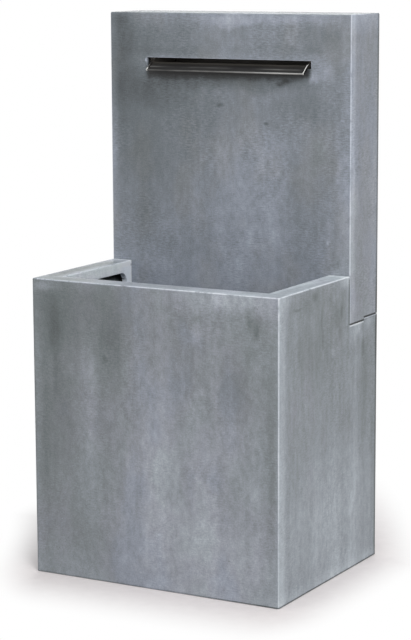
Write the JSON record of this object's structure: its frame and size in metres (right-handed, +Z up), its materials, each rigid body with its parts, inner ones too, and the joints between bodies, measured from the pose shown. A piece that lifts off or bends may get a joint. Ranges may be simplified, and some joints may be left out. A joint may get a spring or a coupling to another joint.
{
  "type": "trough fountain",
  "caption": "Hollow cast garden trough with a tall slab tower at its rear, whose spill slot and lip pour water into the basin, fed by a hidden pump.",
  "frame": {"origin": "on the ground, under the middle of the overall box", "axes": "+Z up, the open trough and the spill lip face -Y, +X to the right seen from the front"},
  "size_m": [0.61, 0.484, 1.235],
  "materials": {
    "zinc_cast": "matte",
    "basin_cast": "matte",
    "rubber": "matte",
    "foam": "matte",
    "weir_sheet": "satin",
    "steel_screws": "satin",
    "pipe_grey": "satin",
    "fitting_black": "satin",
    "pump_black": "matte",
    "handle_red": "satin",
    "valve_white": "satin",
    "magnet": "matte",
    "ceramic": "satin"
  },
  "bodies": {
    "trough": {"trough_shell": "zinc_cast", "basin": "basin_cast", "foot_pads": "rubber", "cord_grommet": "rubber", "drain_gasket": "rubber", "bulkhead_gasket": "rubber", "suction_cups": "rubber", "shaft_holders": "rubber", "spigot_oring": "rubber", "seam_gasket": "foam", "pump_cover_screws": "steel_screws", "riser_spigot": "pipe_grey", "chamber_elbow": "pipe_grey", "chamber_nipple": "pipe_grey", "supply_nipple": "pipe_grey", "supply_elbow": "pipe_grey", "upper_pipe": "pipe_grey", "lift_pipe": "pipe_grey", "outlet_coupling": "pipe_grey", "valve_body": "pipe_grey", "valve_nuts": "pipe_grey", "bulkhead_body": "fitting_black", "bulkhead_nut": "fitting_black", "drain_fitting": "fitting_black", "drain_nut": "fitting_black", "pump_motor": "pump_black", "pump_volute": "pump_black", "pump_front_cover": "pump_black", "pump_strainer": "pump_black", "pump_base": "pump_black", "pump_cord_gland": "pump_black", "valve_seats": "valve_white", "rotor_shaft": "ceramic"},
    "tower": {"tower_shell": "zinc_cast", "tower_back_panel": "zinc_cast", "back_panel_screws": "steel_screws", "weir_tray": "weir_sheet", "weir_gasket": "foam", "weir_screws": "steel_screws", "weir_lid": "weir_sheet", "weir_inlet": "fitting_black", "weir_inlet_nut": "fitting_black", "diffuser_pipe": "pipe_grey", "diffuser_caps": "pipe_grey", "riser_pipe": "pipe_grey", "riser_coupling": "pipe_grey", "riser_clips": "fitting_black", "clip_screws": "steel_screws"},
    "rotor": {"impeller": "pump_black", "rotor_magnet": "magnet"},
    "flow_handle": {"valve_handle": "handle_red", "valve_stem": "valve_white", "valve_ball": "valve_white", "handle_screw": "steel_screws"},
    "drain_stopper": {"drain_plug": "rubber"}
  },
  "joints": [
    {"name": "tower_lift", "type": "slide", "parent": "trough", "child": "tower", "axis": [0, 0, 1], "range_m": [0, 0.15]},
    {"name": "flow_turn", "type": "hinge", "parent": "trough", "child": "flow_handle", "pos_m": [0, 0.042, 0.4], "axis": [0, 1, 0], "range_deg": [0, 90]},
    {"name": "rotor_spin", "type": "hinge", "parent": "trough", "child": "rotor", "pos_m": [0, 0.042, 0.126], "axis": [1, 0, 0], "continuous": true},
    {"name": "stopper_pull", "type": "slide", "parent": "trough", "child": "drain_stopper", "axis": [0, 0, 1], "range_m": [0, 0.06]}
  ]
}
